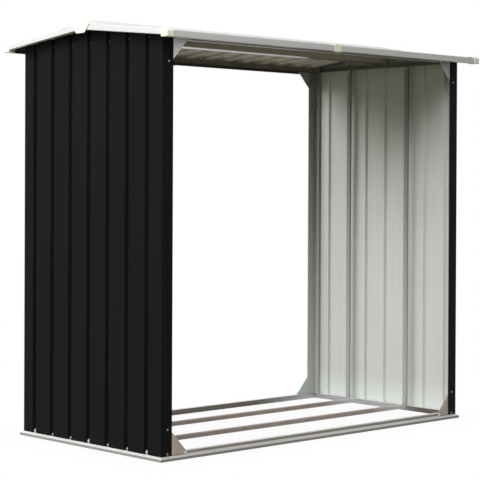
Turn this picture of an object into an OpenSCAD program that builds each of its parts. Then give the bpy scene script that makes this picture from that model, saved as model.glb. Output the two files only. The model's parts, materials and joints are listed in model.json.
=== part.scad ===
/* [Base] */
// Length of the store over the outer wall faces
base_l = 1630; // [1400:10:1900]
// Depth of the store over the folded wall edges
base_w = 830; // [700:10:1000]
// Distance the base lip stands out past the walls
lip_out = 10; // [6:1:16]
// Height of the base lip
lip_h = 10.5; // [8:0.5:12]
// Height of the ledge the walls stand on
ledge_z = 16; // [14:0.5:18]
// Height of the base rails
base_h = 28; // [25:1:32]
// Width of the inner flange of the front and back base rails
base_flange = 20; // [12:1:24]
// Width of the floor bars
bar_w = 24; // [18:1:36]
// Height of the floor bars
bar_h = 16; // [10:1:20]
// Distance of the floor bars from the wall studs beside them
bar_off = 17; // [16:1:24]
// Width of the tongues that carry the floor bars
tongue_w = 10; // [6:1:10]

/* [Frame] */
// Thickness of the frame steel
frame_t = 1.5; // [1:0.1:2]
// Height of the top of the top rails
top_z = 1515; // [1300:5:1700]
// Height of the top rails
top_h = 19; // [15:1:26]
// Width of the lower flange of the front and back top rails
top_flange = 30; // [20:1:36]
// Width of the upper flange of the front and back top rails
cap_flange = 12; // [8:1:18]
// Width of the side rail flanges, the seat of the studs
seat_w = 20; // [16:1:26]
// Width of the corner post leg along the open side
post_w = 40; // [30:1:50]
// Width of the corner post leg along the wall
post_d = 30; // [20:1:40]
// Width of the wall studs
stud_w = 20; // [14:1:22]
// Distance of the wall studs from the groove beside them
stud_off = 35; // [28:1:45]
// Width of the ridge beam
beam_w = 60; // [40:2:80]
// Thickness of the corner plates
plate_t = 1.5; // [1:0.1:2]
// Length of the corner plates along the rail
plate_w = 120; // [90:1:160]
// Height of the corner plates at the post
plate_h = 124; // [100:1:130]
// Height of the blunt tip of the corner plates
plate_tip = 6; // [4:1:12]

/* [Walls] */
// Thickness of the wall and roof sheet
sheet_t = 1; // [0.8:0.1:1.2]
// Depth of the folded wall sheet
wall_d = 10; // [8:1:12]
// Spacing of the wall grooves
wall_pitch = 112.5; // [100:0.5:125]
// Distance the wall grooves sit off the middle
wall_shift = 8; // [0:1:15]
// Width of the groove floor
groove_in = 12; // [8:1:16]
// Width of the groove mouth
groove_out = 22; // [18:1:30]
// Width of the folded edge along the open sides
return_w = 49; // [35:1:52]

/* [Roof] */
// Slope of the roof in degrees
slope = 6; // [5:0.5:9]
// Overhang of the roof past the walls
verge_out = 46; // [40:1:70]
// Overhang of the roof past the open sides
eave_out = 77; // [60:1:110]
// Depth of the folded roof sheet
roof_d = 10; // [8:1:12]
// Spacing of the roof grooves
roof_pitch = 107; // [95:1:125]
// Half width of the ridge cover
ridge_w = 150; // [120:1:180]
// Height of the ridge cover above the roof sheet's lower face
ridge_h = 30.5; // [26:0.5:36]

/* [Trim] */
// Distance the end trim hangs below the roof sheet
verge_drop = 8.5; // [8:0.5:10]
// Height of the end trim's crest above the sheet's lower face
verge_top = 13.5; // [12:0.5:16]
// Width of the end trim from its face to its inner edge
verge_w = 35; // [32:1:45]
// Distance the eave trim hangs below the roof sheet
eave_drop = 14; // [12:0.5:16]
// Width of the trims' lower hem
hem_w = 12; // [8:1:16]
// Width of the eave trim's upper flange
eave_flange = 30; // [20:1:40]
// Thickness of the plastic caps
cap_t = 2; // [1.5:0.1:3]
// Length of the corner caps along the eave
corner_l = 32; // [28:1:40]
// Length of the corner caps along the end trim
corner_d = 36; // [36:1:44]
// Depth of the ridge end caps
end_d = 41; // [40:1:50]
// Length of the clips over the eave joints
clip_l = 34; // [28:1:44]
// Half width of the ridge end cap
end_w = 60; // [50:1:70]
// Half width of the lower edge of the ridge end cap
end_foot = 24; // [18:1:30]
// Height of the ridge end cap
end_h = 55; // [50:1:62]

/* [Hidden] */

// Outer faces of the walls, and the inner crests the frame lies against
wall_x = base_l / 2;
wall_y = base_w / 2;
crest_x = wall_x - wall_d;
web_y = wall_y - sheet_t - plate_t;
top_low = top_z - top_h;

// Height at which the sloping ledge of the front and back rails meets the web
front_z = lip_h + (ledge_z - lip_h) * (lip_out + wall_y - web_y) / lip_out;

// Outer faces of the roof trim
verge_x = wall_x + verge_out;
eave_y = wall_y + eave_out;
eave_low = under(eave_y) - eave_drop;
sheet_end = (eave_y - 3) / cos(slope);
sheet_start = 4;
mitre = wall_x - wall_y;
peak = under(0) + ridge_h;
ridge_fall = (peak - above(ridge_w, roof_d + sheet_t)) / ridge_w;

// Grooves on each side of the middle one
wall_n = floor((wall_y - 30 - wall_shift) / wall_pitch);
roof_n = floor((verge_x - verge_w - groove_out) / roof_pitch);

zinc = [0.62, 0.63, 0.62];
white = [0.9, 0.9, 0.88];
black = [0.12, 0.12, 0.13];
cream = [0.94, 0.92, 0.82];

// Depth at which the stud beside groove k of the left wall stands
function stud_at(k) = wall_shift + stud_off + k * wall_pitch;

// Height of the roof's lower face, a distance d above it, at depth y
function under(y) = top_z + (web_y - abs(y)) * tan(slope);
function above(y, d) = under(y) + d / cos(slope);

// A bent sheet: the path is one face, the other lies t to its right
function right(v) = [v.y, -v.x];
function along(p, i) = (p[i + 1] - p[i]) / norm(p[i + 1] - p[i]);
function corner(a, b) = (a + b) / (1 + a * b);
function side(p, i) =
  i == 0 ? right(along(p, 0)) :
  i == len(p) - 1 ? right(along(p, i - 1)) :
  corner(right(along(p, i - 1)), right(along(p, i)));
function bent(p, t) = concat(p, [for (i = [len(p) - 1:-1:0]) p[i] + t * side(p, i)]);

// Height of the ridge cover at depth y
function cover(y) = peak - ridge_fall * abs(y);

// The four path points of a groove centred at c, its mouth at height a and its floor at b
function groove(c, a, b) =
  [[c - groove_out / 2, a], [c - groove_in / 2, b], [c + groove_in / 2, b], [c + groove_out / 2, a]];
function grooved(n, pitch, off, a, b) =
  [for (k = [-n:n]) each groove(off + k * pitch, a, b)];

module along_x(l) rotate([90, 0, 90]) linear_extrude(l, center = true) children();
module along_y(l) rotate([90, 0, 0]) linear_extrude(l, center = true) children();
module to_right(yes) {
  if (yes) mirror([1, 0, 0]) children();
  else children();
}
module to_back(yes) {
  if (yes) mirror([0, 1, 0]) children();
  else children();
}

// The space under the roof's lower face
module under_roof() along_x(4 * wall_x)
  polygon([[-eave_y, 0], [eave_y, 0], [eave_y, under(eave_y)], [0, under(0)], [-eave_y, under(eave_y)]]);

// A profile square to the front slope, carried down it from the ridge
module down_slope(end) translate([0, 0, under(0)]) rotate([slope, 0, 0])
  translate([0, -(sheet_start + end) / 2, 0]) along_y(end - sheet_start) children();

module base_front() {
  lip = wall_y + lip_out;
  intersection() {
    along_x(2 * (wall_x + lip_out))
      polygon(bent([[-lip, 0], [-lip, lip_h], [-web_y, front_z], [-web_y, front_z + frame_t]], frame_t));
    linear_extrude(base_h)
      polygon([[-mitre - lip, -lip], [mitre + lip, -lip], [mitre, 0], [-mitre, 0]]);
  }
  along_x(2 * crest_x)
    polygon(bent([[-web_y, front_z], [-web_y, base_h], [base_flange - web_y, base_h]], frame_t));
}

module base_left() {
  lip = wall_x + lip_out;
  intersection() {
    along_y(2 * (wall_y + lip_out))
      polygon(bent([[-lip, 0], [-lip, lip_h], [-wall_x, ledge_z], [-crest_x, ledge_z],
        [-crest_x, ledge_z + frame_t]], frame_t));
    linear_extrude(base_h)
      polygon([[-lip, -wall_y - lip_out], [-lip, wall_y + lip_out], [-mitre, 0]]);
  }
  along_y(2 * (web_y - base_flange))
    polygon(bent([[-crest_x, ledge_z], [-crest_x, base_h], [seat_w - crest_x, base_h]], frame_t));
}

// A floor bar hung between the side rails by tongues over their flanges
module floor_bar() translate([0, bar_off - stud_at(1), base_h + frame_t]) {
  along_x(2 * (crest_x - seat_w) - 1)
    polygon(bent([[-bar_w / 2, -bar_h], [-bar_w / 2, 0], [bar_w / 2, 0], [bar_w / 2, -bar_h]], frame_t));
  translate([0, 0, -frame_t / 2]) cube([2 * crest_x - 8, tongue_w, frame_t], center = true);
}

module corner_post() translate([0, 0, base_h]) linear_extrude(top_low - base_h)
  polygon(bent([[post_w - crest_x, -web_y], [-crest_x, -web_y], [-crest_x, post_d - web_y]], frame_t));

module stud(k) translate([-crest_x, stud_at(k), base_h]) linear_extrude(top_low - base_h)
  polygon(bent([[0, stud_w / 2], [seat_w, stud_w / 2], [seat_w, -stud_w / 2], [0, -stud_w / 2]], frame_t));

module top_front() along_x(2 * crest_x)
  polygon(bent([[top_flange - web_y, top_low], [-web_y, top_low], [-web_y, top_z],
    [cap_flange - web_y, under(web_y - cap_flange)]], frame_t));

module top_left() along_y(2 * (web_y - top_flange))
  polygon(bent([[seat_w - crest_x, top_low], [-crest_x, top_low], [-crest_x, top_z],
    [seat_w - crest_x, top_z]], frame_t));

// One corner plate, up from height z, or down from it where s is -1
module plate(z, s) translate([0, -web_y - plate_t / 2, 0]) along_y(plate_t)
  polygon([[2 - crest_x, z], [plate_w - wall_x, z], [plate_w - wall_x, z + s * plate_tip],
    [2 - crest_x, z + s * plate_h]]);

module plates() for (turn = [false, true]) to_right(turn) {
  plate(front_z + 1, 1);
  plate(top_z - 2, -1);
}

// A wall sheet: folded edges, flats and grooves in one path, cut to the ledges below and the roof above
module wall_sheet() intersection() {
  translate([0, 0, ledge_z]) linear_extrude(under(0))
    polygon(bent(concat([[return_w - wall_x, -wall_y], [-wall_x, -wall_y]],
      [for (p = grooved(wall_n, wall_pitch, wall_shift, wall_x, crest_x + sheet_t)) [-p.y, p.x]],
      [[-wall_x, wall_y], [return_w - wall_x, wall_y]]), sheet_t));
  along_x(4 * wall_x)
    polygon([[-wall_y, front_z], [-web_y, front_z], [-web_y, ledge_z], [web_y, ledge_z], [web_y, front_z],
      [wall_y, front_z], [wall_y, under(wall_y)], [0, under(0)], [-wall_y, under(wall_y)]]);
}

module roof_sheet() down_slope(sheet_end)
  polygon(bent(concat([[2 - verge_x, roof_d]], grooved(roof_n, roof_pitch, 0, roof_d, sheet_t),
    [[verge_x - 2, roof_d]]), sheet_t));

module verge() down_slope((eave_y - eave_flange - 1) / cos(slope))
  polygon(bent([[hem_w - verge_x, -verge_drop], [-verge_x, -verge_drop], [-verge_x, verge_top],
    [verge_w - verge_x, roof_d + sheet_t]], sheet_t));

// The outer face of the eave trim, which the clips follow too
function eave_path(w) = [[hem_w - eave_y, eave_low], [-eave_y, eave_low],
  [-eave_y, above(eave_y, roof_d + sheet_t)], [w - eave_y, above(eave_y - w, roof_d + sheet_t)]];

module eave() translate([-verge_x / 2, 0, 0]) along_x(verge_x - 5)
  polygon(bent(eave_path(eave_flange), sheet_t));

module eave_clip() along_x(clip_l) polygon(bent(eave_path(eave_flange - 6), -cap_t));

// A box open to the two trims it joins
module corner_cap() difference() {
  back = corner_d - cap_t - eave_y;
  translate([corner_l / 2 - verge_x - cap_t, 0, 0]) along_x(corner_l)
    polygon([[-eave_y - cap_t, eave_low - cap_t], [-eave_y - cap_t, above(eave_y, verge_top + cap_t)],
      [back, above(back, verge_top + cap_t)], [back, eave_low - cap_t]]);
  translate([corner_l - verge_x, 0, 0]) along_x(2 * corner_l)
    polygon([[-eave_y, eave_low], [-eave_y, above(eave_y, verge_top)],
      [back + 9, above(back + 9, verge_top)], [back + 9, eave_low]]);
}

// A shield over the end of the ridge, with a hood that lies on the ridge cover
module ridge_end_cap() {
  shoulder = cover(end_w) + cap_t;
  translate([-verge_x - cap_t / 2, 0, 0]) along_x(cap_t)
    polygon([[-end_foot, peak + cap_t - end_h], [-end_w, shoulder], [0, peak + cap_t], [end_w, shoulder],
      [end_foot, peak + cap_t - end_h]]);
  translate([(end_d - cap_t) / 2 - verge_x, 0, 0]) along_x(end_d - cap_t)
    polygon([[-end_w, shoulder], [0, peak + cap_t], [end_w, shoulder], [end_w, shoulder - cap_t], [0, peak],
      [-end_w, shoulder - cap_t]]);
}

module base_rail_front() color(zinc) base_front();
module base_rail_back() color(zinc) to_back(true) base_front();
module base_rail_left() color(zinc) base_left();
module base_rail_right() color(zinc) to_right(true) base_left();
module floor_bar_front() color(zinc) floor_bar();
module floor_bar_back() color(zinc) to_back(true) floor_bar();
module corner_post_front_left() color(zinc) corner_post();
module corner_post_front_right() color(zinc) to_right(true) corner_post();
module corner_post_back_left() color(zinc) to_back(true) corner_post();
module corner_post_back_right() color(zinc) to_right(true) to_back(true) corner_post();
module stud_left_front() color(zinc) stud(-2);
module stud_left_back() color(zinc) stud(1);
module stud_right_front() color(zinc) rotate([0, 0, 180]) stud(1);
module stud_right_back() color(zinc) rotate([0, 0, 180]) stud(-2);
module top_rail_front() color(zinc) top_front();
module top_rail_back() color(zinc) to_back(true) top_front();
module top_rail_left() color(zinc) top_left();
module top_rail_right() color(zinc) to_right(true) top_left();
module ridge_beam() color(zinc) intersection() {
  along_x(2 * crest_x - 1)
    polygon(bent([[beam_w / 2, under(0)], [beam_w / 2, top_z], [-beam_w / 2, top_z], [-beam_w / 2, under(0)]],
      frame_t));
  under_roof();
}
module gussets_front() color(zinc) plates();
module gussets_back() color(zinc) to_back(true) plates();
module wall_left() color(black) wall_sheet();
module wall_right() color(black) rotate([0, 0, 180]) wall_sheet();
module roof_sheet_front() color(black) roof_sheet();
module roof_sheet_back() color(black) to_back(true) roof_sheet();
module ridge_cap() color(white) along_x(2 * (verge_x - verge_w - 1))
  polygon(bent([for (y = [-1, 0, 1]) [y * ridge_w, cover(y * ridge_w)]], sheet_t));
module verge_trim_front_left() color(white) verge();
module verge_trim_front_right() color(white) to_right(true) verge();
module verge_trim_back_left() color(white) to_back(true) verge();
module verge_trim_back_right() color(white) to_right(true) to_back(true) verge();
module eave_trim_front_left() color(white) eave();
module eave_trim_front_right() color(white) to_right(true) eave();
module eave_trim_back_left() color(white) to_back(true) eave();
module eave_trim_back_right() color(white) to_right(true) to_back(true) eave();
module corner_cap_front_left() color(cream) corner_cap();
module corner_cap_front_right() color(cream) to_right(true) corner_cap();
module corner_cap_back_left() color(cream) to_back(true) corner_cap();
module corner_cap_back_right() color(cream) to_right(true) to_back(true) corner_cap();
module eave_clip_front() color(cream) eave_clip();
module eave_clip_back() color(cream) to_back(true) eave_clip();
module ridge_end_cap_left() color(cream) ridge_end_cap();
module ridge_end_cap_right() color(cream) to_right(true) ridge_end_cap();

base_rail_front();
base_rail_back();
base_rail_left();
base_rail_right();
floor_bar_front();
floor_bar_back();
corner_post_front_left();
corner_post_front_right();
corner_post_back_left();
corner_post_back_right();
stud_left_front();
stud_left_back();
stud_right_front();
stud_right_back();
top_rail_front();
top_rail_back();
top_rail_left();
top_rail_right();
ridge_beam();
gussets_front();
gussets_back();
wall_left();
wall_right();
roof_sheet_front();
roof_sheet_back();
ridge_cap();
verge_trim_front_left();
verge_trim_front_right();
verge_trim_back_left();
verge_trim_back_right();
eave_trim_front_left();
eave_trim_front_right();
eave_trim_back_left();
eave_trim_back_right();
corner_cap_front_left();
corner_cap_front_right();
corner_cap_back_left();
corner_cap_back_right();
eave_clip_front();
eave_clip_back();
ridge_end_cap_left();
ridge_end_cap_right();
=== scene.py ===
# %% [markdown]
# # A log store, dressed for a picture
# The store is two folded steel walls under a low pitched roof, open in front and behind.
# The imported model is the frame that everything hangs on: it is loaded first and stays put.
# Every size below is in millimetres, as a sheet-metal drawing has it, and a finished mesh is scaled to metres.

# %% Frame
import json

import bpy
import numpy as np
from mathutils import Matrix

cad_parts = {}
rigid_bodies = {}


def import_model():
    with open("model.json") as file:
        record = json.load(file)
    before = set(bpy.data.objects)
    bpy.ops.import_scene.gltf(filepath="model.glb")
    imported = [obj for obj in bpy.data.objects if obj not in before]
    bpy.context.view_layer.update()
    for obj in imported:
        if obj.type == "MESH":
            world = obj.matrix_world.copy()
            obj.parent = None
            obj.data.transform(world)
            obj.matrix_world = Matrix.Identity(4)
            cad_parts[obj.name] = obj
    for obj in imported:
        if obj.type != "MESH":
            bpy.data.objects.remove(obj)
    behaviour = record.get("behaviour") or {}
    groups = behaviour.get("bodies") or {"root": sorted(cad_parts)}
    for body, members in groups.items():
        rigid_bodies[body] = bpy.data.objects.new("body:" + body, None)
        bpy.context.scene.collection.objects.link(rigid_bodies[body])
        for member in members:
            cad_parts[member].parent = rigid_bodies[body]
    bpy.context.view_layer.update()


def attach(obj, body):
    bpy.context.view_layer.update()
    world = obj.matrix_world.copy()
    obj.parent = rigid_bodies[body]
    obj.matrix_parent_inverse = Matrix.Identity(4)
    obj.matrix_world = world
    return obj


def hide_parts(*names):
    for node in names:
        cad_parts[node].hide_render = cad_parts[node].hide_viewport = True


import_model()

# %% [markdown]
# ## Sizes that many pieces share
# The walls' faces, the sheet's thickness and the roof's slope fix nearly everything else. The frame's boxes
# give some of them, but a box doesn't show the folds in a sheet, so they are written out.
# A size that only one kind of piece needs stands in that piece's own cell.

# %% Shared sizes
mm, hair = 0.001, 0.1  # a millimetre in metres, and the gap between two faces that touch
wall_x, wall_y, wall_d = 815.0, 415.0, 10.0  # the walls' outer faces, the depth of a groove
sheet_t, frame_t, plate_t = 1.0, 1.5, 1.5  # thickness of the sheets, the frame and the plates
wall_pitch, wall_shift = 112.5, 8.0  # from groove to groove, and the middle groove off the centre
lip_out, lip_h, ledge_z, base_h = 10.0, 10.5, 16.0, 28.0  # the base's lip, ledge and top
top_z, top_h, seat_w = 1515.0, 19.0, 20.0  # the top rails, and the seats that carry the uprights
slope = np.radians(6.0)
crest_x, web_y, top_low = wall_x - wall_d, wall_y - sheet_t - plate_t, top_z - top_h
front_z = lip_h + (ledge_z - lip_h) * (lip_out + wall_y - web_y) / lip_out
open_sides, wall_sides = (("front", 1), ("back", -1)), (("left", 1), ("right", -1))
four_corners = [(front, left, sx, sy) for front, sy in open_sides for left, sx in wall_sides]


def under(y):
    """Height of the roof's lower face: the top rail's height plus the run towards the ridge times the slope."""
    return top_z + (web_y - np.abs(y)) * np.tan(slope)


def above(y, d):
    """The same plane lifted a distance d square to the slope."""
    return under(y) + d / np.cos(slope)


print("roof's lower face at the ridge:", round(float(under(0)), 1))

# %% [markdown]
# ## Camera
# The picture looks at the front left corner from a little over half the store's height, from far away.
# A long lens keeps the uprights nearly parallel. The picture's middle lies below the horizon, and tilting
# the camera there would make the uprights lean, so the lens is shifted down instead.

# %% Camera
scene = bpy.context.scene
eye = np.array([-4435.86, -4677.11, 973.11])
yaw, pitch, roll = np.radians([-43.19, 0.37, 0.25])
picture, focal, axis_x, axis_y = 480.0, 1586.07, 241.05, 196.79  # in pixels: width, lens, lens's axis


def placed(name, data, right, up, back, place):
    """An object at a place in metres whose own axes point right, up and back, as a camera's or a lamp's do."""
    made = bpy.data.objects.new(name, data)
    turn = np.eye(4)
    turn[:3] = np.column_stack([right, up, back, place])
    made.matrix_world = Matrix(turn.tolist())
    scene.collection.objects.link(made)
    return made


forward = np.array([-np.sin(yaw) * np.cos(pitch), np.cos(yaw) * np.cos(pitch), -np.sin(pitch)])
level = np.array([np.cos(yaw), np.sin(yaw), 0.0])
lift = np.cross(level, forward)
level, lift = level * np.cos(roll) + lift * np.sin(roll), lift * np.cos(roll) - level * np.sin(roll)
lens = bpy.data.cameras.new("camera")
lens.sensor_width = 36.0
lens.lens = focal / picture * lens.sensor_width
lens.shift_x, lens.shift_y = (picture / 2 - axis_x) / picture, (axis_y - picture / 2) / picture
scene.camera = placed("camera", lens, level, lift, -forward, eye * mm)
print("camera at", np.round(eye * mm, 3).tolist(), "lens", round(lens.lens, 1))

# %% [markdown]
# ## Shader maths as plain expressions
# Node trees grow fast. They could be drawn by hand in the editor, but a script has to name every link.
# A small class holds one socket and gives it the usual operators, so a finish is a line of arithmetic.


# %% Socket class
class Wire:
    """One socket of a node tree. Arithmetic on it adds Math nodes; node() adds any other node."""

    def __init__(self, tree, socket=None):
        self.tree, self.socket = tree, socket

    def node(self, kind, settings, sockets, out=0):
        """Adds a node: its settings first, then its sockets' values or links. Gives one of its outputs."""
        made = self.tree.nodes.new(kind)
        for key, value in settings.items():
            setattr(made, key, value)
        for key, value in sockets.items():
            if isinstance(value, Wire):
                self.tree.links.new(value.socket, made.inputs[key])
            else:
                made.inputs[key].default_value = value
        return Wire(self.tree, made.outputs[out]) if made.outputs else None

    def math(self, operation, a, b):
        """A Math node on two numbers."""
        return self.node("ShaderNodeMath", {"operation": operation}, {0: a, 1: b})

    def vector(self, operation, a, b=(0.0, 0.0, 0.0), out=0):
        """A Vector Math node; its second output is a number."""
        return self.node("ShaderNodeVectorMath", {"operation": operation}, {0: a, 1: b}, out)

    def __add__(self, other):
        return self.math("ADD", self, other)

    def __sub__(self, other):
        return self.math("SUBTRACT", self, other)

    def __rsub__(self, other):
        return self.math("SUBTRACT", other, self)

    def __mul__(self, other):
        return self.math("MULTIPLY", self, other)

    def __pow__(self, other):
        return self.math("POWER", self, other)

    __radd__, __rmul__ = __add__, __mul__

    def between(self, low, high):
        """0 at low, 1 at high, straight in between and level beyond. Low may be the larger value."""
        return self.node("ShaderNodeMapRange", {}, {0: self, 1: low, 2: high, 3: 0.0, 4: 1.0})

    def blend(self, a, b):
        """Colour a where this is 0 and b where it is 1."""
        return self.node("ShaderNodeMix", {"data_type": "RGBA"}, {0: self, 6: a, 7: b}, out=2)

    def tones(self, dark, pale):
        """A noise as a colour: dark up to 0.3, pale from 0.7."""
        return self.between(0.3, 0.7).blend(dark, pale)

    def coords(self, scale):
        """The piece's own coordinates in metres, stretched by one scale or by one for each axis."""
        place = self.node("ShaderNodeTexCoord", {}, {}, out=3)
        return self.node("ShaderNodeMapping", {}, {0: place, 3: np.broadcast_to(scale, 3).tolist()})

    def axis(self, which):
        """One of the piece's own coordinates in metres: 0, 1 or 2."""
        return self.node("ShaderNodeSeparateXYZ", {}, {0: self.coords(1.0)}, out=which)

    def noise(self, scale, detail=3.0, rough=0.55):
        """Cloudy noise from 0 to 1 on the piece's own coordinates."""
        sockets = {"Vector": self.coords(scale), "Scale": 1.0, "Detail": detail, "Roughness": rough}
        return self.node("ShaderNodeTexNoise", {}, sockets)

    def cells(self, scale):
        """A flat random grey for each crystal-like cell."""
        colour = self.node("ShaderNodeTexVoronoi", {}, {"Vector": self.coords(scale), "Scale": 1.0}, out=1)
        return self.node("ShaderNodeSeparateColor", {}, {0: colour})

    def bump(self, height, distance, strength):
        """A normal tilted by a height of 0 to 1 times a distance in metres."""
        return self.node("ShaderNodeBump", {}, {"Height": height, "Distance": distance, "Strength": strength})


def rgb(r, g, b):
    """A colour given in screen values from 0 to 255, as light: the sRGB curve undone."""
    v = np.array([r, g, b]) / 255.0
    return (*np.where(v <= 0.04045, v / 12.92, ((v + 0.055) / 1.055) ** 2.4).tolist(), 1.0)


print("a middle grey as light:", round(rgb(128, 128, 128)[0], 3))

# %% [markdown]
# ## Light and sky
# A pack shot stands under large soft boxes in a white room. One sun would be simpler, but its shadows are hard.
# So the sky is a gradient, brightest on the left, and two wide soft boxes stand to the left and above.
# Rays from the camera and from gloss see plain white instead.

# %% Light
scene.view_settings.view_transform = "Standard"
scene.world = world = bpy.data.worlds.new("studio")
world.use_nodes = True
world.node_tree.nodes.clear()
sky = Wire(world.node_tree)
bright_way, bright_sky, dim_sky = (-0.70, 0.0, 0.71), (0.56, 0.56, 0.56, 1), (0.11, 0.105, 0.075, 1)
soft_boxes = (("soft_box_back", (-3.3, 3.0, 3.6), (0.0, 0.0, 0.6), (4.6, 2.4), 245.0),
              ("soft_box_front", (-4.0, -2.6, 4.4), (0.0, 0.0, 0.8), (4.2, 2.0), 235.0))


def seen_rays(wire):
    """1 for rays from the camera, from gloss and through glass, 0 for the light that falls on things."""
    camera_ray, gloss_ray, glass_ray = (wire.node("ShaderNodeLightPath", {}, {}, out=k) for k in (0, 3, 6))
    return wire.math("MAXIMUM", wire.math("MAXIMUM", camera_ray, gloss_ray), glass_ray)


aim = sky.node("ShaderNodeTexCoord", {}, {}, out=0)
glow = sky.vector("DOT_PRODUCT", aim, bright_way, out=1).between(0.0, 1.0) ** 1.2
falling = sky.node("ShaderNodeBackground", {}, {0: glow.blend(dim_sky, bright_sky)})
plain = sky.node("ShaderNodeBackground", {}, {0: (1, 1, 1, 1)})
both = sky.node("ShaderNodeMixShader", {}, {0: seen_rays(sky), 1: falling, 2: plain})
sky.node("ShaderNodeOutputWorld", {}, {0: both})

for name, place, target, size, power in soft_boxes:
    lamp = bpy.data.lights.new(name, "AREA")
    lamp.shape, lamp.size, lamp.size_y, lamp.energy = "RECTANGLE", *size, power
    back = np.array(place) - np.array(target)
    back /= np.linalg.norm(back)
    right = np.cross((0.0, 0.0, 1.0), back)
    right /= np.linalg.norm(right)
    placed(name, lamp, right, np.cross(back, right), back, place).visible_glossy = False

# %% [markdown]
# ## Floor
# The store stands on a white sweep. More light could whiten a floor, but it would bleach the store too.
# So what is seen is a white glow with a trace of matt paper in it near the store, which takes the shadow.
# The paper is dull, so it throws little light up at the roof.

# %% Floor
floor_half, store_half = 40.0, (0.8, 0.4, 0.0)  # in metres
trace, trace_reach = 0.04, 0.22
ground = bpy.data.meshes.new("floor")
ground.from_pydata([(floor_half * x, floor_half * y, 0) for x, y in ((-1, -1), (1, -1), (1, 1), (-1, 1))],
                   [], [(0, 1, 2, 3)])
floor = bpy.data.objects.new("floor", ground)
scene.collection.objects.link(floor)
sweep = bpy.data.materials.new("sweep")
sweep.use_nodes = True
sweep.node_tree.nodes.clear()
paper = Wire(sweep.node_tree)
matt = paper.node("ShaderNodeBsdfDiffuse", {}, {0: (0.20, 0.19, 0.13, 1)})
white = paper.node("ShaderNodeEmission", {}, {0: (1, 1, 1, 1), 1: 1.0})
past = paper.vector("SUBTRACT", paper.vector("ABSOLUTE", paper.coords(1.0)), store_half)
reach = paper.vector("LENGTH", paper.vector("MAXIMUM", past), out=1)
shade = seen_rays(paper) * ((1.0 - trace) + reach.between(0.0, trace_reach) * trace)
look = paper.node("ShaderNodeMixShader", {}, {0: shade, 1: matt, 2: white})
paper.node("ShaderNodeOutputMaterial", {}, {0: look})
ground.materials.append(sweep)

# %% [markdown]
# ## Folding sheet
# Nearly everything here is a flat strip folded on a press. A fold is never sharp: its inside keeps a small
# radius and its outside is rounder by the sheet's thickness. Bevel could round a boxy mesh, but folding the
# drawn path first keeps the thickness true and gives each fold its highlight.

# %% Folding
arc_share = 0.45  # the most that an arc takes of the shorter side beside it


def folded(corners, thick, inside=1.2, steps=4):
    """A drawn path with its corners rounded into arcs.

    A corner with directions a and b turns by an angle f. The arc starts r tan(f/2) before the corner and runs
    start + r (a sin p + n (1 - cos p)) for p from 0 to f, with n square to a on the inner side. The sheet's body
    lies to the right of the path, so r is the inside radius on a left turn and a thickness more on a right turn.
    """
    p = np.asarray(corners, float)
    step = np.diff(p, axis=0)
    length = np.hypot(step[:, 0], step[:, 1])
    a = step / length[:, None]
    a, b = a[:-1], a[1:]
    side = a[:, 0] * b[:, 1] - a[:, 1] * b[:, 0]
    angle = np.abs(np.arctan2(side, (a * b).sum(1)))
    r = inside + np.where(side < 0, thick, 0.0)
    r = np.minimum(r, arc_share * np.minimum(length[:-1], length[1:]) / np.tan(angle / 2))
    n = np.stack([-a[:, 1], a[:, 0]], 1) * np.sign(side)[:, None]
    f = angle[:, None] * np.linspace(0.0, 1.0, steps + 1)
    start = p[1:-1] - a * (r * np.tan(angle / 2))[:, None]
    arc = start[:, None] + r[:, None, None] * (
        a[:, None] * np.sin(f)[..., None] + n[:, None] * (1 - np.cos(f))[..., None])
    return np.vstack([p[:1], arc.reshape(-1, 2), p[-1:]])


def right_of(steps):
    """Unit normals to the right of each step."""
    d = steps / np.hypot(steps[:, 0], steps[:, 1])[:, None]
    return np.stack([d[:, 1], -d[:, 0]], 1)


def both_faces(path, thick):
    """The path, then back along it a thickness to its right, each point moved along its two normals' mitre."""
    n = right_of(np.diff(path, axis=0))
    m = np.vstack([n[:1], (n[:-1] + n[1:]) / (1 + (n[:-1] * n[1:]).sum(1))[:, None], n[-1:]])
    return np.vstack([path, (path + thick * m)[::-1]])


def skin(rings):
    """Quads between rings of points, and ladders of quads over the first and the last ring."""
    number, m = rings.shape[:2]
    i = np.arange(m)
    ring = np.stack([i, (i + 1) % m, (i + 1) % m + m, i + m], 1)
    k = np.arange(m // 2 - 1)
    lid = np.stack([k, m - 1 - k, m - 2 - k, k + 1], 1)
    walls = (ring + m * np.arange(number - 1)[:, None, None]).reshape(-1, 4)
    return np.vstack([walls, lid, lid[:, ::-1] + m * (number - 1)])


def strip(ring, start, end):
    """A sheet's ring of points carried along a third axis, from start to end, which may differ for each point.

    Gives points as (a, b, along), quads, and 1 for each quad of the back face.
    """
    m = len(ring)
    rings = np.stack([np.column_stack([ring, np.broadcast_to(along, m)]) for along in (start, end)])
    faces = skin(rings)
    back = np.zeros(len(faces), int)
    back[m // 2:m - 1] = 1
    return rings.reshape(-1, 3), faces, back


print("a right angle in 1 mm sheet takes", len(folded([[0, 0], [0, 9], [9, 9]], 1.0)), "points")

# %% [markdown]
# ## From arrays to a piece
# One function turns points and faces into an object: it smooths the folds, keeps the cut edges sharp and hangs
# the piece on the frame. Blender could recalculate the normals, but the signed volume tells at once whether
# faces point outwards. Weighted Normal lets the flats decide the shading beside a fold.

# %% Pieces
sharp_from = 34.0  # degrees between two faces


def outward(points, faces):
    """The faces, turned round if the volume they enclose, the sum of p . (q x r) / 6, comes out negative."""
    p = points[faces]
    volume = (p[:, 0] * np.cross(p[:, 1] - p[:, 3], p[:, 2])).sum()
    return faces if volume > 0 else faces[:, ::-1]


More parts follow.
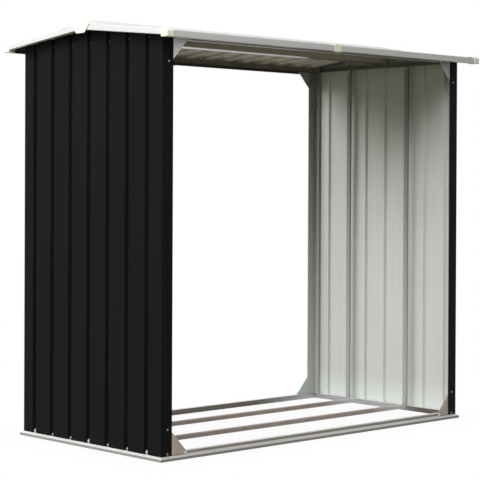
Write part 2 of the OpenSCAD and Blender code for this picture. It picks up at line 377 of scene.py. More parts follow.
def piece(name, points, faces, finishes, slot, nodes=(), kind=None, flat=True):
    """A mesh of quads in millimetres made an object in metres, riding on the frame.

    It stands in place of the CAD nodes that are named, and kind gives each face the number of its finish.
    """
    mesh = bpy.data.meshes.new(name)
    mesh.from_pydata((points * mm).tolist(), [], faces.tolist())
    for coat in finishes:
        mesh.materials.append(coat)
    if kind is not None:
        mesh.polygons.foreach_set("material_index", kind.astype(np.int32))
    mesh.shade_smooth()
    mesh.set_sharp_from_angle(angle=np.radians(sharp_from))
    made = bpy.data.objects.new(name, mesh)
    scene.collection.objects.link(made)
    if flat:
        made.modifiers.new("flats", "WEIGHTED_NORMAL").keep_sharp = True
    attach(made, "root")
    if nodes:
        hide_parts(*nodes)
    return made


def count(word):
    """How many objects have this word in their name."""
    return sum(word in made.name for made in scene.objects)


print("edges are sharp from", sharp_from, "degrees")

# %% [markdown]
# ## Drawing planes
# A strip's section is drawn in plan for a wall and across its length for a rail. Turning each object would do,
# but its noise would turn too, so the points are put in place. Signs mirror a piece to the other side.


# %% Drawing planes
def laid(*order):
    """Which of a strip's coordinates, its section's two and its length, goes on x, y and z; signs mirror it."""
    return lambda sx, sy: lambda q: q[:, order] * [sx, sy, 1]


in_plan, across, deep = laid(0, 1, 2), laid(2, 0, 1), laid(0, 2, 1)  # carried up, along x, along y


def down_slope(sx, sy):
    """Places a section drawn square to the slope in (x, height) and carried down it from the ridge."""
    c, s = np.cos(slope), np.sin(slope)
    return lambda q: np.stack([sx * q[:, 0], -sy * (q[:, 2] * c + q[:, 1] * s),
                               under(0.0) - q[:, 2] * s + q[:, 1] * c], 1)


def pressed(name, corners, thick, start, end, place, finishes, slot, nodes, inside=1.2):
    """A strip folded along its drawn corners, carried from start to end and put in its place.

    start and end are numbers, or functions of the section's two coordinates where the ends are cut to fit.
    Where start is None, the strip is as long before its middle as after it.
    """
    ring = both_faces(folded(corners, thick, inside), thick)
    end = end(ring[:, 0], ring[:, 1]) if callable(end) else end
    start = start(ring[:, 0], ring[:, 1]) if callable(start) else -end if start is None else start
    points, faces, back = strip(ring, start, end)
    points = place(points)
    back = back if len(finishes) > 1 else None
    return piece(name, points, outward(points, faces), finishes, slot, nodes, back)


print("a metre down the slope falls", round(1000 * float(np.sin(slope))))

# %% [markdown]
# ## Paint on the walls
# The sheet comes painted from the coil: satin black outside, a pale primer inside that is painted paler at its
# foot, as light thrown up from the floor.
# A picture could be wrapped round it, but noise on the piece's own coordinates, in metres, has no seam.
# Even values sit on the shader's sockets, and what varies is joined to them.


# %% Wall paint
def socket(tree, key):
    """The Principled shader's socket of this name, written with _ for a space."""
    return tree.nodes["Principled BSDF"].inputs[key.replace("_", " ")]


def finish(name, **fixed):
    """A material with one Principled shader; the fixed values go straight onto its sockets."""
    made = bpy.data.materials.new(name)
    made.use_nodes = True
    for key, value in fixed.items():
        socket(made.node_tree, key).default_value = value
    return made, Wire(made.node_tree)


def feed(wire, **links):
    """Joins what varies over the surface to the shader's sockets."""
    for key, value in links.items():
        wire.tree.links.new(value.socket, socket(wire.tree, key))


black_paint, w = finish("black_paint", Specular_IOR_Level=0.06)
peel, dust = w.noise(900.0, 2.0), w.noise((9.0, 9.0, 1.1), 4.0)
feed(w, Base_Color=dust.between(0.35, 0.75).blend(rgb(13, 13, 14), rgb(17, 17, 18)),
     Roughness=0.48 + dust * 0.14 + peel * 0.05, Normal=w.bump(peel, 0.00005, 0.35))

primer, w = finish("primer", Specular_IOR_Level=0.3)
cloud, streak = w.noise(5.0), w.noise((60.0, 60.0, 1.4), 4.0)
plain_primer = (cloud * 0.5 + streak * 0.5).tones(rgb(205, 208, 205), rgb(216, 219, 215))
# painted light: the primer turns paler towards the foot, standing in for light thrown up from the floor
foot = w.axis(2).between(0.15, 0.03)
feed(w, Base_Color=foot.blend(plain_primer, rgb(229, 234, 231)),
     Roughness=0.42 + streak * 0.16, Normal=w.bump(w.noise(420.0, 2.0), 0.00006, 0.3))
print("wall paint:", black_paint.name, "and", primer.name)

# %% [markdown]
# ## Walls
# Each wall is one sheet: a folded edge, flats with narrow grooves between them, and the other folded edge.
# A plane with a bump would look right from the front only, so the grooves are folds in the path, which is
# drawn in plan and carried up. Foot and head are cut to the ledges and the roof, so they vary with depth.
# The right wall is the left one turned half round.

# %% Walls
groove_in, groove_out, return_w = 12.0, 22.0, 49.0  # a groove's floor and mouth, a folded edge
edge_y = wall_y - sheet_t - 0.2  # past this depth lies a folded edge


def groove(centre, mouth, floor):
    """Four points of each groove: down one flank, along the floor, up the other."""
    along = np.array([-groove_out, -groove_in, groove_in, groove_out]) / 2
    c = np.asarray(centre)[:, None] + along
    return np.stack([c, np.broadcast_to([mouth, floor, floor, mouth], c.shape)], -1).reshape(-1, 2)


def wall_foot(x, y):
    """The sheet's lower end: the ledge's height, and under the folded edges the front ledge's height."""
    return np.where(np.abs(y) > edge_y, front_z, ledge_z)


def wall_head(x, y):
    """The sheet's upper end: a hair below the roof."""
    return under(y) - hair


wall_grooves = wall_shift + wall_pitch * np.arange(-3, 4)
ribs = groove(wall_grooves, -wall_x, -(crest_x + sheet_t))[:, ::-1]
wall_path = np.vstack([[[return_w - wall_x, -wall_y], [-wall_x, -wall_y]], ribs,
                       [[-wall_x, wall_y], [return_w - wall_x, wall_y]]])
for left, s in wall_sides:
    made = pressed("wall_%s_sheet" % left, wall_path, sheet_t, wall_foot, wall_head, in_plan(s, s),
                   [black_paint, primer], "wall_paint", ["wall_" + left])
    print(made.name, len(made.data.polygons), "faces")

# %% [markdown]
# ## Roof
# The roof sheets are folded like the walls and lie on the top rails, black on top. The pale coat below is bright
# between the walls and painted dark past them, as painted shade under the overhang. Two materials could do that,
# but the line runs across the faces, so the coordinates decide.

# %% Roof
verge_x, eave_y, roof_d, roof_pitch = 861.0, 492.0, 10.0, 107.0
sheet_gap, sheet_start, sheet_end = 2.0, 4.0, (eave_y - 3.0) / np.cos(slope)
under_paint, w = finish("under_paint", Specular_IOR_Level=0.2)
cloud = w.noise(7.0)
over_x, over_y = (w.math("ABSOLUTE", w.axis(k), 0.0) for k in (0, 1))
# painted shade: past the walls the underside is painted dark, as the overhang's shadow
painted_shade_past_walls = w.math("MAXIMUM", over_x.between(0.800, 0.812), over_y.between(0.405, 0.417))
under_tone_between_walls = cloud.tones(rgb(212, 210, 200), rgb(221, 219, 210))
feed(w, Base_Color=painted_shade_past_walls.blend(under_tone_between_walls, rgb(84, 82, 76)), Roughness=0.5 + cloud * 0.15)

roof_grooves = roof_pitch * np.arange(-7, 8)
roof_path = np.vstack([[[sheet_gap - verge_x, roof_d]], groove(roof_grooves, roof_d, sheet_t),
                       [[verge_x - sheet_gap, roof_d]]])
for front, s in open_sides:
    node = "roof_sheet_" + front
    made = pressed(node + "_folded", roof_path, sheet_t, sheet_start, sheet_end, down_slope(1, s),
                   [black_paint, under_paint], "roof_paint", [node])
    print(made.name, len(made.data.polygons), "faces")

# %% [markdown]
# ## Ridge cover
# A white strip with a slightly steeper fall than the roof closes the ridge. White coil paint shows fine lines
# along the strip from rolling. A brushed picture could give them, but noise stretched along one axis is enough.

# %% Ridge cover
ridge_w, ridge_h, verge_w = 150.0, 30.5, 35.0
cover_x = verge_x - verge_w - 1.0
peak = under(0.0) + ridge_h
ridge_fall = (peak - above(ridge_w, roof_d + sheet_t)) / ridge_w


def coil_white(name, along, dull, bright):
    """White coil paint: fine lines rolled along the strip, slightly uneven gloss."""
    made, w = finish(name, Specular_IOR_Level=0.4)
    line, cloud = w.noise(along, 5.0, 0.65), w.noise(8.0)
    feed(w, Base_Color=line.tones(dull, bright),
         Roughness=0.3 + cloud * 0.14, Normal=w.bump(line, 0.00008, 0.25))
    return made


eave_white = coil_white("eave_white", (1.5, 420.0, 420.0), rgb(205, 206, 207), rgb(217, 218, 219))
run = np.array([-ridge_w, 0.0, ridge_w])
made = pressed("ridge_cover", np.column_stack([run, peak - ridge_fall * np.abs(run)]), sheet_t, None, cover_x,
               across(1, 1), [eave_white], "trim_paint", ["ridge_cap"], inside=2.5)
print(made.name, "is", round(2 * cover_x), "long")

# %% [markdown]
# ## Trim
# White trim closes the roof's edges. The end trims and the eave trims have a hem below and a dull back.
# A box would hide the hem, which shows from below, so each is a folded strip. The eave trims meet under a clip,
# and the end trims are cut aslant beside the ridge end cap.

# %% Trim
verge_drop, verge_top, hem_w, eave_drop, eave_flange = 8.5, 13.5, 12.0, 14.0, 30.0
cap_t, end_w, end_foot, end_h = 2.0, 60.0, 24.0, 55.0  # the ridge end cap: thickness, shoulders, foot, height
end_low, shoulder = peak + cap_t - end_h, peak + cap_t - ridge_fall * end_w
tuck, eave_gap, trim_round = 2.0, 2.5, 2.0
eave_low = under(eave_y) - eave_drop
verge_end = (eave_y - eave_flange - 1) / np.cos(slope)
verge_path = [[hem_w - verge_x, -verge_drop], [-verge_x, -verge_drop], [-verge_x, verge_top],
              [verge_w - verge_x, roof_d + sheet_t]]
# painted shade: the end trims are a little darker white than the eave trims, the same paint, to offset the
# brighter light on them
verge_white = coil_white("verge_white", (420.0, 1.5, 420.0), rgb(198, 199, 199), rgb(210, 211, 211))
back_coat, w = finish("back_coat", Specular_IOR_Level=0.2)
cloud = w.noise(12.0)
feed(w, Base_Color=cloud.tones(rgb(88, 86, 80), rgb(106, 104, 97)), Roughness=0.5 + cloud * 0.15)


def verge_start(x, h):
    """How far down the slope an end trim starts: along the slanted lower edge of the ridge end cap."""
    return end_foot - tuck + (under(end_foot) + h - end_low) * (end_w - end_foot) / (shoulder - end_low)


def eave_path(w):
    """The eave trim's outer face: hem, upright, and a flange of width w up the slope."""
    return [[hem_w - eave_y, eave_low], [-eave_y, eave_low], [-eave_y, above(eave_y, roof_d + sheet_t)],
            [w - eave_y, above(eave_y - w, roof_d + sheet_t)]]


for front, left, sx, sy in four_corners:
    node = "verge_trim_%s_%s" % (front, left)
    pressed(node + "_strip", verge_path, sheet_t, verge_start, verge_end, down_slope(sx, sy),
            [verge_white, back_coat], "trim_paint", [node], trim_round)
    node = "eave_trim_%s_%s" % (front, left)
    pressed(node + "_strip", eave_path(eave_flange), sheet_t, eave_gap - verge_x, -eave_gap, across(sx, sy),
            [eave_white, back_coat], "trim_paint", [node], trim_round)
print("trim strips:", count("_strip"))

# %% [markdown]
# ## Ends of the ridge cover
# At each end the cover lies over the end trim and is folded down onto it, so its fold is as deep as the wedge
# under it. A carried profile has one depth all along, so this is a grid with its own drop in every row,
# and Solidify gives the sheet its thickness.

# %% Ends of the ridge cover
cover_run, cover_rows, cover_t, fold_min = 138.0, 16, 0.8, 1.5
fold_x = np.array([verge_w, verge_w - 20.0, 0.8, -0.1, -0.3, -0.3]) - verge_x
fold_drop = np.array([0, 0, 0, 0.3, 1.2, 0])


def grid_quads(rows, columns):
    """Quads between the points of a grid, counted row by row."""
    i = np.arange(rows - 1)[:, None] * columns + np.arange(columns - 1)
    return np.stack([i, i + 1, i + 1 + columns, i + columns], -1).reshape(-1, 4)


def thicken(made, thick):
    """Solidify: a body of this thickness behind the surface."""
    body = made.modifiers.new("thickness", "SOLIDIFY")
    body.thickness, body.offset = thick * mm, -1.0


def cover_end(sx, sy):
    """Columns run from the cover to the fold's lower edge, rows run down the slope.

    z = peak - fall y at the top, less a small drop round the fold, and the trim's height at the foot.
    """
    y = np.linspace(0.0, cover_run, cover_rows)[:, None]
    top, foot = peak - ridge_fall * y + hair, above(y, verge_top) - fold_min
    z = top - fold_drop
    z[:, -1:] = np.minimum(foot, top - fold_min)
    points = np.dstack([np.broadcast_to(sx * fold_x, z.shape), np.broadcast_to(-sy * y, z.shape), z])
    return points.reshape(-1, 3), grid_quads(*z.shape)[:, ::sx * sy]


for front, left, sx, sy in four_corners:
    made = piece("ridge_cover_end_%s_%s" % (front, left), *cover_end(sx, sy), [eave_white], "trim_paint",
                 flat=False)
    made.data.shade_flat()
    thicken(made, cover_t)
print("cover ends:", count("ridge_cover_end"))

# %% [markdown]
# ## Rounded shells
# A moulding has no sharp edge at all. Subdivision could soften a boxy cage, but it pulls the faces in as well.
# Here the outline is drawn with an arc at every corner, and over the end it is drawn smaller and smaller.


# %% Rounded shells
def rounded(corners, radius, steps=5):
    """A convex outline: at each corner an arc about its centre, from one side's normal to the next one's.

    Gives the centres and the directions, so the outline inset by d is centre + (radius - d) (cos p, sin p).
    """
    c = np.asarray(corners, float)
    n = right_of(np.roll(c, -1, 0) - c)
    m = np.roll(n, 1, 0)
    centre = c - radius * (n + m) / (1 + (n * m).sum(1))[:, None]
    start = np.arctan2(m[:, 1], m[:, 0])
    turn = np.mod(np.arctan2(n[:, 1], n[:, 0]) - start, 2 * np.pi)
    p = start[:, None] + turn[:, None] * np.linspace(0.0, 1.0, steps + 1)
    return np.repeat(centre, steps + 1, 0), np.stack([np.cos(p), np.sin(p)], -1).reshape(-1, 2)


def stacked(name, corners, radius, levels, place, coat, slot, nodes=()):
    """A shell of rings: each level is an inset of the rounded outline and its place along the axis."""
    centre, way = rounded(corners, radius)
    inset, along = np.array(levels, float).T
    ring = centre + (radius - inset)[:, None, None] * way
    rings = np.dstack([ring, np.broadcast_to(along[:, None], ring.shape[:2])])
    points = place(rings.reshape(-1, 3))
    return piece(name, points, outward(points, skin(rings)), [coat], slot, nodes, flat=False)


def over_edge(start, r):
    """Levels of a rounded end: a quarter circle of radius r from the end face to the side."""
    t = np.radians([0.0, 22.5, 45.0, 67.5, 90.0])
    return list(zip(r * (1 - np.sin(t)), start + r * (1 - np.cos(t))))


print("a rounded end has", len(over_edge(0.0, 1.0)), "levels")

# %% [markdown]
# ## Corner caps and eave clips
# Cream plastic caps close the roof's corners, and a clip covers the joint of the eave trims. The cap could be
# cut from a box, but its brow and soft rim need the stacked outline, whose last level runs back inside and
# gives the mouth a wall. The clip follows the trim's section. The plastic is glossy with a fine grain.

# %% Corner caps and eave clips
corner_l, corner_d, clip_l, clip_short = 32.0, 36.0, 34.0, 6.0
foot_gap, brow_y, brow_z, corner_round = 0.4, 14.0, 23.0, 3.5
edge_round, rim, draft, lining = 3.0, 0.6, 0.2, 6.0
cream, w = finish("cream_plastic", Specular_IOR_Level=0.9, Coat_Weight=0.5, Coat_Roughness=0.25)
grain, cloud = w.noise(1400.0, 1.0), w.noise(22.0)
feed(w, Base_Color=cloud.tones(rgb(242, 238, 214), rgb(247, 244, 226)),
     Roughness=0.4 + cloud * 0.12, Normal=w.bump(grain, 0.00004, 0.4))

face_y, back_y, cap_top = -eave_y - cap_t, corner_d - cap_t - eave_y, verge_top + cap_t
corner = [[face_y, eave_low + foot_gap], [back_y, eave_low + foot_gap], [back_y, above(back_y, cap_top)],
          [brow_y - eave_y, above(eave_y - brow_y, cap_top)], [face_y, eave_low + brow_z]]
cap_end = -verge_x - cap_t
cap_mouth = cap_end + corner_l
corner_levels = over_edge(cap_end, edge_round)
corner_levels += [(0.0, cap_mouth - rim), (rim, cap_mouth), (cap_t, cap_mouth),
                  (cap_t + draft, cap_end + lining)]
for front, sy in open_sides:
    for left, sx in wall_sides:
        node = "corner_cap_%s_%s" % (front, left)
        stacked(node + "_shell", corner, corner_round, corner_levels, across(sx, sy), cream,
                "cap_plastic", [node])
    pressed("eave_clip_%s_band" % front, eave_path(eave_flange - clip_short)[::-1], cap_t, None, clip_l / 2,
            across(1, sy), [cream], "cap_plastic", ["eave_clip_" + front], inside=1.5)
print("corner caps:", count("_shell"), "clips:", count("_band"))

# %% [markdown]
# ## Ridge end caps
# A shield closes each end of the ridge, and a hood runs from it over the cover. One mesh could hold both,
# but they are different kinds of surface: the shield is a rounded plate, the hood a folded band.

# %% Ridge end caps
end_d, end_round, shield_edge, shield_out, shield_rim, hood_drop = 41.0, 9.0, 2.5, 1.5, 0.5, 6.0
shield = [[-end_foot, end_low], [end_foot, end_low], [end_w, shoulder], [0, peak + cap_t], [-end_w, shoulder]]
shield_back = cap_end + cap_t
shield_levels = over_edge(cap_end - shield_out, shield_edge)
shield_levels += [(0.0, shield_back), (1.0, shield_back + shield_rim)]
hood = [[-end_w, shoulder - hood_drop], [-end_w, shoulder], [0, peak + cap_t], [end_w, shoulder],
        [end_w, shoulder - hood_drop]]
for left, sx in wall_sides:
    stacked("ridge_end_%s_shield" % left, shield, end_round, shield_levels, across(sx, 1), cream,
            "cap_plastic", ["ridge_end_cap_" + left])
    pressed("ridge_end_%s_hood" % left, hood, cap_t, cap_end + 1.0, cap_end + end_d, across(sx, 1), [cream],
            "cap_plastic", [], inside=5.0)
print("shields:", count("_shield"), "hoods:", count("_hood"))

# %% [markdown]
# ## Galvanised steel
# The frame is dipped in zinc, which sets in crystals a few millimetres across and dulls in clouds, and the mill
# leaves streaks. A bare metal shader would mirror the white room, so most of the colour is matt.
# The base's faces that look up are painted brighter and glossier, as painted light, and those that look out are
# painted darker, as painted shade. The rails fold at the same few heights, so height tells the faces apart.

# %% Galvanised steel
crystals = 150.0  # a metre


def zinc(name, dull, bright, metal, along, fresh=None):
    """Crystals, clouds and streaks along the strip are added up and laid from a dull to a bright grey.

    fresh gives a mask from the coordinates, 1 where the coat is still new and bright.
    """
    made, w = finish(name, Metallic=metal, Specular_IOR_Level=0.35)
    flake, cloud, streak = w.cells(crystals), w.noise(11.0), w.noise(along, 4.0)
    colour = (flake * 0.2 + cloud * 0.5 + streak * 0.3).between(0.25, 0.75).blend(dull, bright)
    if fresh:
        new = fresh(w)
        colour = new.blend(colour, rgb(220, 222, 226))
        feed(w, Metallic=metal + new * 0.3)
    feed(w, Base_Color=colour, Roughness=0.36 + flake * 0.12 + cloud * 0.12,
         Normal=w.bump(streak, 0.00008, 0.25))
    return made


inner_zinc = zinc("inner_zinc", rgb(142, 133, 126), rgb(172, 162, 155), 0.2, (30.0, 30.0, 300.0),
                  lambda w: w.axis(0).between(0.45, 0.78) * w.axis(1).between(-0.22, -0.05))
foot_zinc, w = finish("foot_zinc", Specular_IOR_Level=0.35)
tone = (w.cells(crystals) * 0.25 + w.noise(11.0) * 0.75).between(0.25, 0.75)
height = w.axis(2)
# painted light and shade: faces that look up are painted pale and glossy, faces that look out darker
painted_light_up = height.between(0.0095, 0.0104) - height.between(0.0172, 0.0180) + height.between(0.0270, 0.0280)
painted_shade_out = height.between(0.0120, 0.0170).blend(rgb(148, 147, 145), rgb(146, 138, 131))
feed(w, Base_Color=painted_light_up.blend(painted_shade_out, tone.blend(rgb(212, 212, 210), rgb(232, 232, 230))),
     Metallic=0.08 + painted_light_up * 0.25, Roughness=0.34 + tone * 0.14)
print("base zinc:", foot_zinc.name, "and", inner_zinc.name)

# %% [markdown]
# ## Base
# Four rails are mitred at the corners. Each has a lip on the ground, a sloping ledge that carries the wall,
# an upright web and an inner flange. Boxes cut by a Boolean would give the mitre, but here the length is a
# function of the section: the mitre cuts lip and ledge, and the web stops short of the corner.

# %% Base rails
base_flange, mitre, web_foot = 20.0, wall_x - wall_y, 3.0


def base_front_end(y, z):
    """Half a front rail's length: the mitre's diagonal up to the ledge, the posts' line above it."""
    return np.where(z > front_z + web_foot, crest_x, mitre + np.abs(y))


def base_side_end(x, z):
    """Half a side rail's length: the mitre's diagonal up to the ledge, the front rail's flange above it."""
    return np.where(z > ledge_z + web_foot, web_y - base_flange, np.abs(x) - mitre)


lip_x, lip_y = wall_x + lip_out, wall_y + lip_out
front_path = [[-lip_y, 0], [-lip_y, lip_h], [-web_y, front_z], [-web_y, base_h], [base_flange - web_y, base_h]]
side_path = [[-lip_x, 0], [-lip_x, lip_h], [-wall_x, ledge_z], [-crest_x, ledge_z], [-crest_x, base_h],
             [seat_w - crest_x, base_h]]
for front, s in open_sides:
    pressed("base_%s_folded" % front, front_path, frame_t, None, base_front_end, across(1, s),
            [foot_zinc, inner_zinc], "base_zinc", ["base_rail_" + front])
for left, s in wall_sides:
    pressed("base_%s_folded" % left, side_path, frame_t, None, base_side_end, deep(s, 1),
            [foot_zinc, inner_zinc], "base_zinc", ["base_rail_" + left])
print("base rails mitred at", float(base_front_end(-lip_y, 0.0)))

# %% [markdown]
# ## Floor bars
# Two channels lie open side down between the side rails and carry the load. A solid bar would look the same
# from above, but not from the ends. Their zinc is fresher at the right.

# %% Floor bars
bar_w, bar_h, bar_off, stud_off = 24.0, 16.0, 17.0, 35.0
bar_end = crest_x - seat_w - 0.5


def stud_y(k):
    """Depth of a stud of the left wall: a little past groove k."""
    return wall_shift + stud_off + k * wall_pitch


bar_zinc = zinc("bar_zinc", rgb(150, 138, 129), rgb(182, 170, 161), 0.25, (4.0, 300.0, 300.0),
                lambda w: w.axis(0).between(0.58, 0.78))
bar_y, bar_z = bar_off - stud_y(1), base_h + frame_t
bar_path = np.array([[-bar_w / 2, -bar_h], [-bar_w / 2, 0], [bar_w / 2, 0], [bar_w / 2, -bar_h]])
bar_path += [bar_y, bar_z]
for front, s in open_sides:
    pressed("floor_bar_%s_channel" % front, bar_path, frame_t, None, bar_end, across(1, s), [bar_zinc],
            "bar_zinc", ["floor_bar_" + front])
print("floor bars at depth", bar_y, "and", -bar_y)

# %% [markdown]
# ## Posts and studs
# An angle stands in each corner, and two channels at each wall. They could be boxes, but light passes between
# a stud and the wall, so a stud is a shallow channel that stands off the sheet.
# The zinc is painted paler towards the foot, as light thrown up from the floor, so the finish runs with height.

# %% Posts and studs
post_w, post_d, stud_w, stud_leg = 40.0, 30.0, 20.0, 9.0
stud_face = seat_w - crest_x


def upright_zinc(name, head, foot):
    """Zinc of an upright, painted paler towards the foot as light from the floor; crystals and streaks run along
    it.
    """
    made, w = finish(name, Metallic=0.12, Specular_IOR_Level=0.35)
    flake, streak = w.cells(crystals), w.noise((300.0, 300.0, 4.0), 4.0)
    # painted light: paler towards the foot, standing in for light thrown up from the floor
    painted_floor_light = (w.axis(2).between(1.35, 0.1) * 0.8 + flake * 0.1 + streak * 0.2).between(0.05, 1.0)
    feed(w, Base_Color=painted_floor_light.blend(head, foot), Roughness=0.38 + flake * 0.16,
         Normal=w.bump(streak, 0.00008, 0.25))
    return made


stud_zinc = upright_zinc("stud_zinc", rgb(116, 118, 116), rgb(180, 182, 180))
post_zinc = upright_zinc("post_zinc", rgb(133, 135, 133), rgb(208, 210, 208))
post_path = [[post_w - crest_x, -web_y], [-crest_x, -web_y], [-crest_x, post_d - web_y]]
for front, left, sx, sy in four_corners:
    node = "corner_post_%s_%s" % (front, left)
    pressed(node + "_angle", post_path, frame_t, base_h, top_low, in_plan(sx, sy), [post_zinc],
            "frame_zinc", [node])
for node, k, s in (("stud_left_front", -2, 1), ("stud_left_back", 1, 1), ("stud_right_front", 1, -1),
                   ("stud_right_back", -2, -1)):
    near, far = stud_y(k) + stud_w / 2, stud_y(k) - stud_w / 2
    stud_path = [[stud_face - stud_leg, near], [stud_face, near], [stud_face, far], [stud_face - stud_leg, far]]
    pressed(node + "_channel", stud_path, frame_t, base_h, top_low, in_plan(s, s), [stud_zinc],
            "frame_zinc", [node])
print("posts:", count("_angle"), "uprights are", top_low - base_h, "long")

# %% [markdown]
# ## Top rails and ridge beam
# Channels tie the uprights' heads together, and one runs under the ridge. From below, the beam's flange has a
# painted highlight, bright and glossy at the left, fading to painted shade at the right; the back rail's flange
# is painted dark as shade, and the webs above them are painted pale against the shade under the roof.
# Each face could have its own material, but the bands follow height, so one finish holds them.

# %% Top rails and ridge beam
top_flange, cap_flange, beam_w, beam_gap, head_gap = 30.0, 12.0, 60.0, 0.5, 0.2
rail_zinc = zinc("rail_zinc", rgb(138, 137, 136), rgb(166, 165, 165), 0.04, (4.0, 300.0, 300.0))
side_zinc = zinc("side_zinc", rgb(112, 111, 104), rgb(138, 137, 130), 0.04, (300.0, 4.0, 300.0))
beam_zinc, w = finish("beam_zinc", Specular_IOR_Level=0.15)
# painted highlight and shade: the flange is bright and metallic at the left, dull and dark at the right; the web
# is painted pale
web, painted_light_fade = w.axis(2).between(1.5155, 1.5175), w.axis(0).between(-0.55, 0.35)
cloud = w.noise((6.0, 60.0, 60.0))
flange = painted_light_fade.blend(rgb(182, 178, 173), rgb(108, 104, 98))
feed(w, Base_Color=web.blend(flange, rgb(192, 187, 177)),
     Metallic=(1.0 - web) * (0.8 - painted_light_fade * 0.65), Roughness=0.22 + web * 0.3 + cloud * 0.1)
far_zinc, w = finish("far_zinc", Specular_IOR_Level=0.0)
# painted shade and light: the back rail's flange is painted dark, its web pale against the roof's shade
web, cloud = w.axis(2).between(1.4985, 1.5005), w.noise((6.0, 60.0, 60.0))
feed(w, Base_Color=web.blend(rgb(92, 90, 85), rgb(208, 204, 196)), Roughness=0.45 + cloud * 0.15)

top_front_path = [[top_flange - web_y, top_low], [-web_y, top_low], [-web_y, top_z],
                  [cap_flange - web_y, under(web_y - cap_flange)]]
top_side_path = [[stud_face, top_low], [-crest_x, top_low], [-crest_x, top_z], [stud_face, top_z]]
for (front, s), rail in zip(open_sides, (rail_zinc, far_zinc)):
    pressed("top_%s_folded" % front, top_front_path, frame_t, None, crest_x, across(1, s), [rail],
            "frame_zinc", ["top_rail_" + front])
for left, s in wall_sides:
    pressed("top_%s_folded" % left, top_side_path, frame_t, None, web_y - top_flange, deep(s, 1),
            [side_zinc], "frame_zinc", ["top_rail_" + left])
head = under(beam_w / 2) - head_gap
beam_path = [[beam_w / 2, head], [beam_w / 2, top_z], [-beam_w / 2, top_z], [-beam_w / 2, head]]
pressed("ridge_channel", beam_path, frame_t, None, crest_x - beam_gap, across(1, 1), [beam_zinc],
        "frame_zinc", ["ridge_beam"])
print("top rails and beam at", top_low, "to", top_z)

# %% [markdown]
# ## Corner plates
# A bent plate braces each corner. It could be a flat triangle, but the real one steps forward beside the wall's
# folded edge, and its slanted edge is turned back. So it is a surface of two parameters: u runs along the
# rail, t from the rail to the slanted edge. Solidify thickens it. The low plates in front are brownish.

# %% Corner plates
plate_run, plate_h, plate_tip, plate_gap = 108.0, 124.0, 6.0, 2.0
step_start, step_run, step_out, turned_until = 36.0, 13.0, 2.0, 95.0
plate_low, plate_high = front_z + 1.0, top_z - 8.0


def plate_surface(foot, s):
    """x grows with u, and z = foot + s t h(u), with h falling straight to the tip.

    y steps forward over a smooth ramp in u. From t = 1 on the sheet turns back: y grows while z stands still.
    """
    u = np.array([0, 12, 24, 34, 37, 40, 43, 46, 49, 56, 68, 80, 92, 101, plate_run])
    t = np.array([0, 0.04, 0.3, 0.55, 0.8, 0.97, 1, 1, 1])
    turned = np.array([0, 0, 0, 0, 0, 0.1, 0.7, 2.2, 4.5])
    ramp = np.clip((u - step_start) / step_run, 0.0, 1.0)
    step = step_out * (ramp * ramp * (3 - 2 * ramp))[:, None]
    h = plate_h + (plate_tip - plate_h) * u / plate_run
    x = np.broadcast_to((plate_gap - crest_x + u)[:, None], (len(u), len(t)))
    y = -web_y - plate_t - step + turned * (u < turned_until)[:, None]
    z = foot + s * (h[:, None] * t)
    return np.dstack([x, y, z]).reshape(-1, 3), grid_quads(*z.shape)


along_x = (30.0, 300.0, 300.0)
plate_zinc = zinc("plate_zinc", rgb(176, 163, 152), rgb(200, 187, 176), 0.2, along_x)
cool_zinc = zinc("cool_zinc", rgb(188, 203, 198), rgb(211, 224, 219), 0.35, along_x)
pale_zinc = zinc("pale_zinc", rgb(206, 206, 203), rgb(224, 224, 221), 0.58, along_x)
grey_zinc = zinc("grey_zinc", rgb(168, 168, 168), rgb(198, 198, 197), 0.28, along_x)
for front, left, sx, sy in four_corners:
    low_zinc = plate_zinc if front == "front" else cool_zinc
    # painted light and shade: the left high plates are paler and glossier, the right ones greyer, lit and shaded
    # copies of one plate
    high_zinc = pale_zinc if left == "left" else grey_zinc
    for level_name, foot, s, coat in (("low", plate_low, 1, low_zinc), ("high", plate_high, -1, high_zinc)):
        points, faces = plate_surface(foot, s)
        made = piece("plate_%s_%s_%s" % (front, left, level_name), points * [sx, sy, 1],
                     faces[:, ::-sx * sy * s], [coat], "plate_zinc",
                     ["gussets_" + front] if (left, level_name) == ("left", "low") else [], flat=False)
        thicken(made, plate_t)
print("plates:", count("plate_"))

# %% [markdown]
# ## Screws
# Every screw is the same small turned shape: a washer, then a hexagon. The turn has twelve steps, so the
# hexagon has a point at each corner and one in the middle of each flat. Copies of one screw object would do,
# but there are many, so one mesh holds a row.

# %% Screw shape
screw_steps, screw_r, screw_h = 12, np.array([6.6, 6.0, 4.6, 4.2]), np.array([-0.3, 1.3, 1.4, 4.6])


def smeared(name, metal, shine, dark, pale, rough, spread):
    """Zinc on a small part: smears a few millimetres across change its tone and its gloss."""
    made, w = finish(name, Metallic=metal, Specular_IOR_Level=shine)
    smear = w.noise(240.0)
    feed(w, Base_Color=smear.tones(dark, pale), Roughness=rough + smear * spread)
    return made


screw_zinc = smeared("screw_zinc", 0.8, 0.5, rgb(205, 206, 206), rgb(238, 238, 236), 0.22, 0.22)
dark_zinc = smeared("dark_zinc", 0.4, 0.2, rgb(70, 70, 69), rgb(96, 96, 94), 0.4, 0.2)
dull_zinc = smeared("dull_zinc", 0.3, 0.3, rgb(150, 150, 149), rgb(178, 178, 176), 0.35, 0.2)


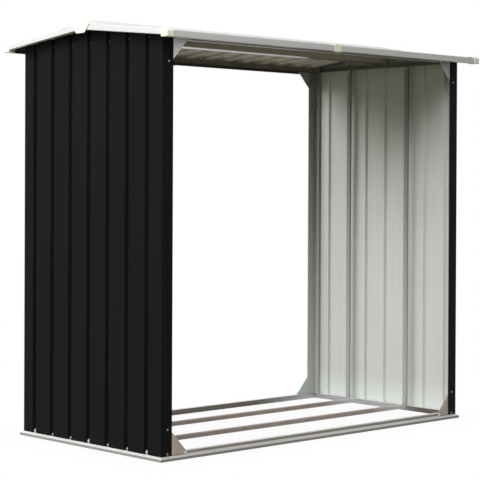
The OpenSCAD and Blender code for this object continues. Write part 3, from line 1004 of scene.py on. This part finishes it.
def screws(name, spots, axes, size, coat=screw_zinc):
    """Rings of radius r(p) at heights along an axis; for the hexagon r(p) = r cos 30 / cos((p mod 60) - 30)."""
    spots, axes = np.broadcast_arrays(np.asarray(spots, float), np.asarray(axes, float))
    p = np.radians(np.arange(screw_steps) * 360.0 / screw_steps)
    hexagon = np.cos(np.pi / 6) / np.cos(np.mod(p + 1e-9, np.pi / 3) - np.pi / 6)
    washer = np.ones_like(p)
    r = size * (screw_r[:, None] * np.stack([washer, washer, hexagon, hexagon]))
    h = size * screw_h
    a = np.where(np.abs(axes[:, 2:]) > 0.8, [[1.0, 0.0, 0.0]], [[0.0, 0.0, 1.0]])
    a = np.cross(a, axes)
    a /= np.linalg.norm(a, axis=1)[:, None]
    b = np.cross(axes, a)
    rings = (spots[:, None, None] + a[:, None, None] * (r * np.cos(p))[..., None]
             + b[:, None, None] * (r * np.sin(p))[..., None] + axes[:, None, None] * h[:, None, None])
    one = outward(rings[0].reshape(-1, 3) - spots[0], skin(rings[0]))
    faces = (one + r.size * np.arange(len(spots))[:, None, None]).reshape(-1, 4)
    return piece(name, rings.reshape(-1, 3), faces, [coat], "plate_zinc", flat=False)


def grid(*axes):
    """All combinations of the values for x, y and z."""
    return np.stack(np.meshgrid(*axes, indexing="ij"), -1).reshape(-1, 3)


print("one screw has", len(screw_h) * screw_steps, "points")

# %% [markdown]
# ## Rows of screws
# Screws hold each sheet in its grooves, at the foot, at the head and along the roof, and small dull ones hold
# the folded edges. They could be placed by hand, but the grooves already give the places, so a row is a grid.

# %% Rows of screws
foot_row, bolt_row, head_row, stud_row = 23.0, 24.0, 1504.0, 1489.0
edge_x, edge_rows, tip_x, tip_rows = 787.0, [24.0, 111.0, 1416.0], 703.0, [23.0, 1503.0]
eave_row, cover_row, cover_turn = 405.0, ridge_w - 14.0, np.arctan(ridge_fall)
tip_y = web_y + plate_t + step_out
for left, s in wall_sides:
    face, way = [-s * (crest_x + sheet_t)], [-s, 0, 0]
    screws("foot_screws_" + left, grid(face, s * wall_grooves[[1, 2, 4, 5]], [foot_row]), way, size=0.8)
    screws("foot_bolts_" + left, grid(face, s * wall_grooves[[0, 3, 6]], [bolt_row]), way, size=1.25)
    screws("head_screws_" + left, grid(face, s * wall_grooves, [head_row]), way, 0.6, dark_zinc)
    screws("stud_screws_" + left, grid([s * stud_face], s * stud_y(np.array([-2, 1])), [stud_row]),
           [s, 0, 0], size=0.6)
for front, s in open_sides:
    way = [0, -s, 0]
    screws("edge_screws_" + front, grid([-edge_x, edge_x], [-s * wall_y], edge_rows), way, 0.62, dull_zinc)
    screws("tip_screws_" + front, grid([-tip_x, tip_x], [-s * tip_y], tip_rows), way, size=0.85)
    screws("roof_screws_" + front, grid(roof_grooves, [-s * eave_row], [above(eave_row, sheet_t)]),
           [0, -s * np.sin(slope), np.cos(slope)], size=0.8)
    screws("cover_screws_" + front,
           grid(roof_grooves[1:-1] + roof_pitch / 2, [-s * cover_row], [peak - ridge_fall * cover_row]),
           [0, -s * np.sin(cover_turn), np.cos(cover_turn)], size=0.8)
print("rows of screws:", count("_screws_") + count("_bolts_"))

# %% [markdown]
# ## Straps and tongues
# A short strap ties a stud to the rail beside each floor bar, and a tongue at each end of a bar lies on the
# rail. Boxes would have hard edges, so the strap is a stack of rounded outlines and the tongue a pressed strip.

# %% Straps and tongues
strap_low, strap_high, strap_half, strap_round, strap_t = 14.0, 62.0, 10.0, 4.0, 1.7
strap_rows, tongue_w, tongue_gap, tongue_screw = [21.0, 44.0, 54.0], 10.0, 4.0, 794.0
strap = [[strap_low, -strap_half], [strap_high, -strap_half], [strap_high, strap_half], [strap_low, strap_half]]
tongue_path = [[bar_y - tongue_w / 2, bar_z], [bar_y + tongue_w / 2, bar_z]]
for node, s in (("left_back", 1), ("right_front", -1)):
    x, y = s * stud_face, s * stud_y(1)
    stacked("strap_" + node, strap, strap_round, [(0.0, hair), (0.0, 1.2), (0.4, strap_t)],
            lambda q: np.stack([x + s * q[:, 2], y + q[:, 1], q[:, 0]], 1), dull_zinc, "bar_zinc")
    screws("strap_screws_" + node, grid([x + s * strap_t], [y], strap_rows), [s, 0, 0], size=0.7)
for front, s in open_sides:
    for left, sx in wall_sides:
        pressed("tongue_%s_%s" % (front, left), tongue_path, frame_t, tongue_gap - crest_x, -bar_end,
                across(sx, s), [bar_zinc], "bar_zinc", [])
    screws("tongue_screws_" + front, grid([-tongue_screw, tongue_screw], [s * bar_y], [bar_z]),
           [0, 0, 1], size=0.6)
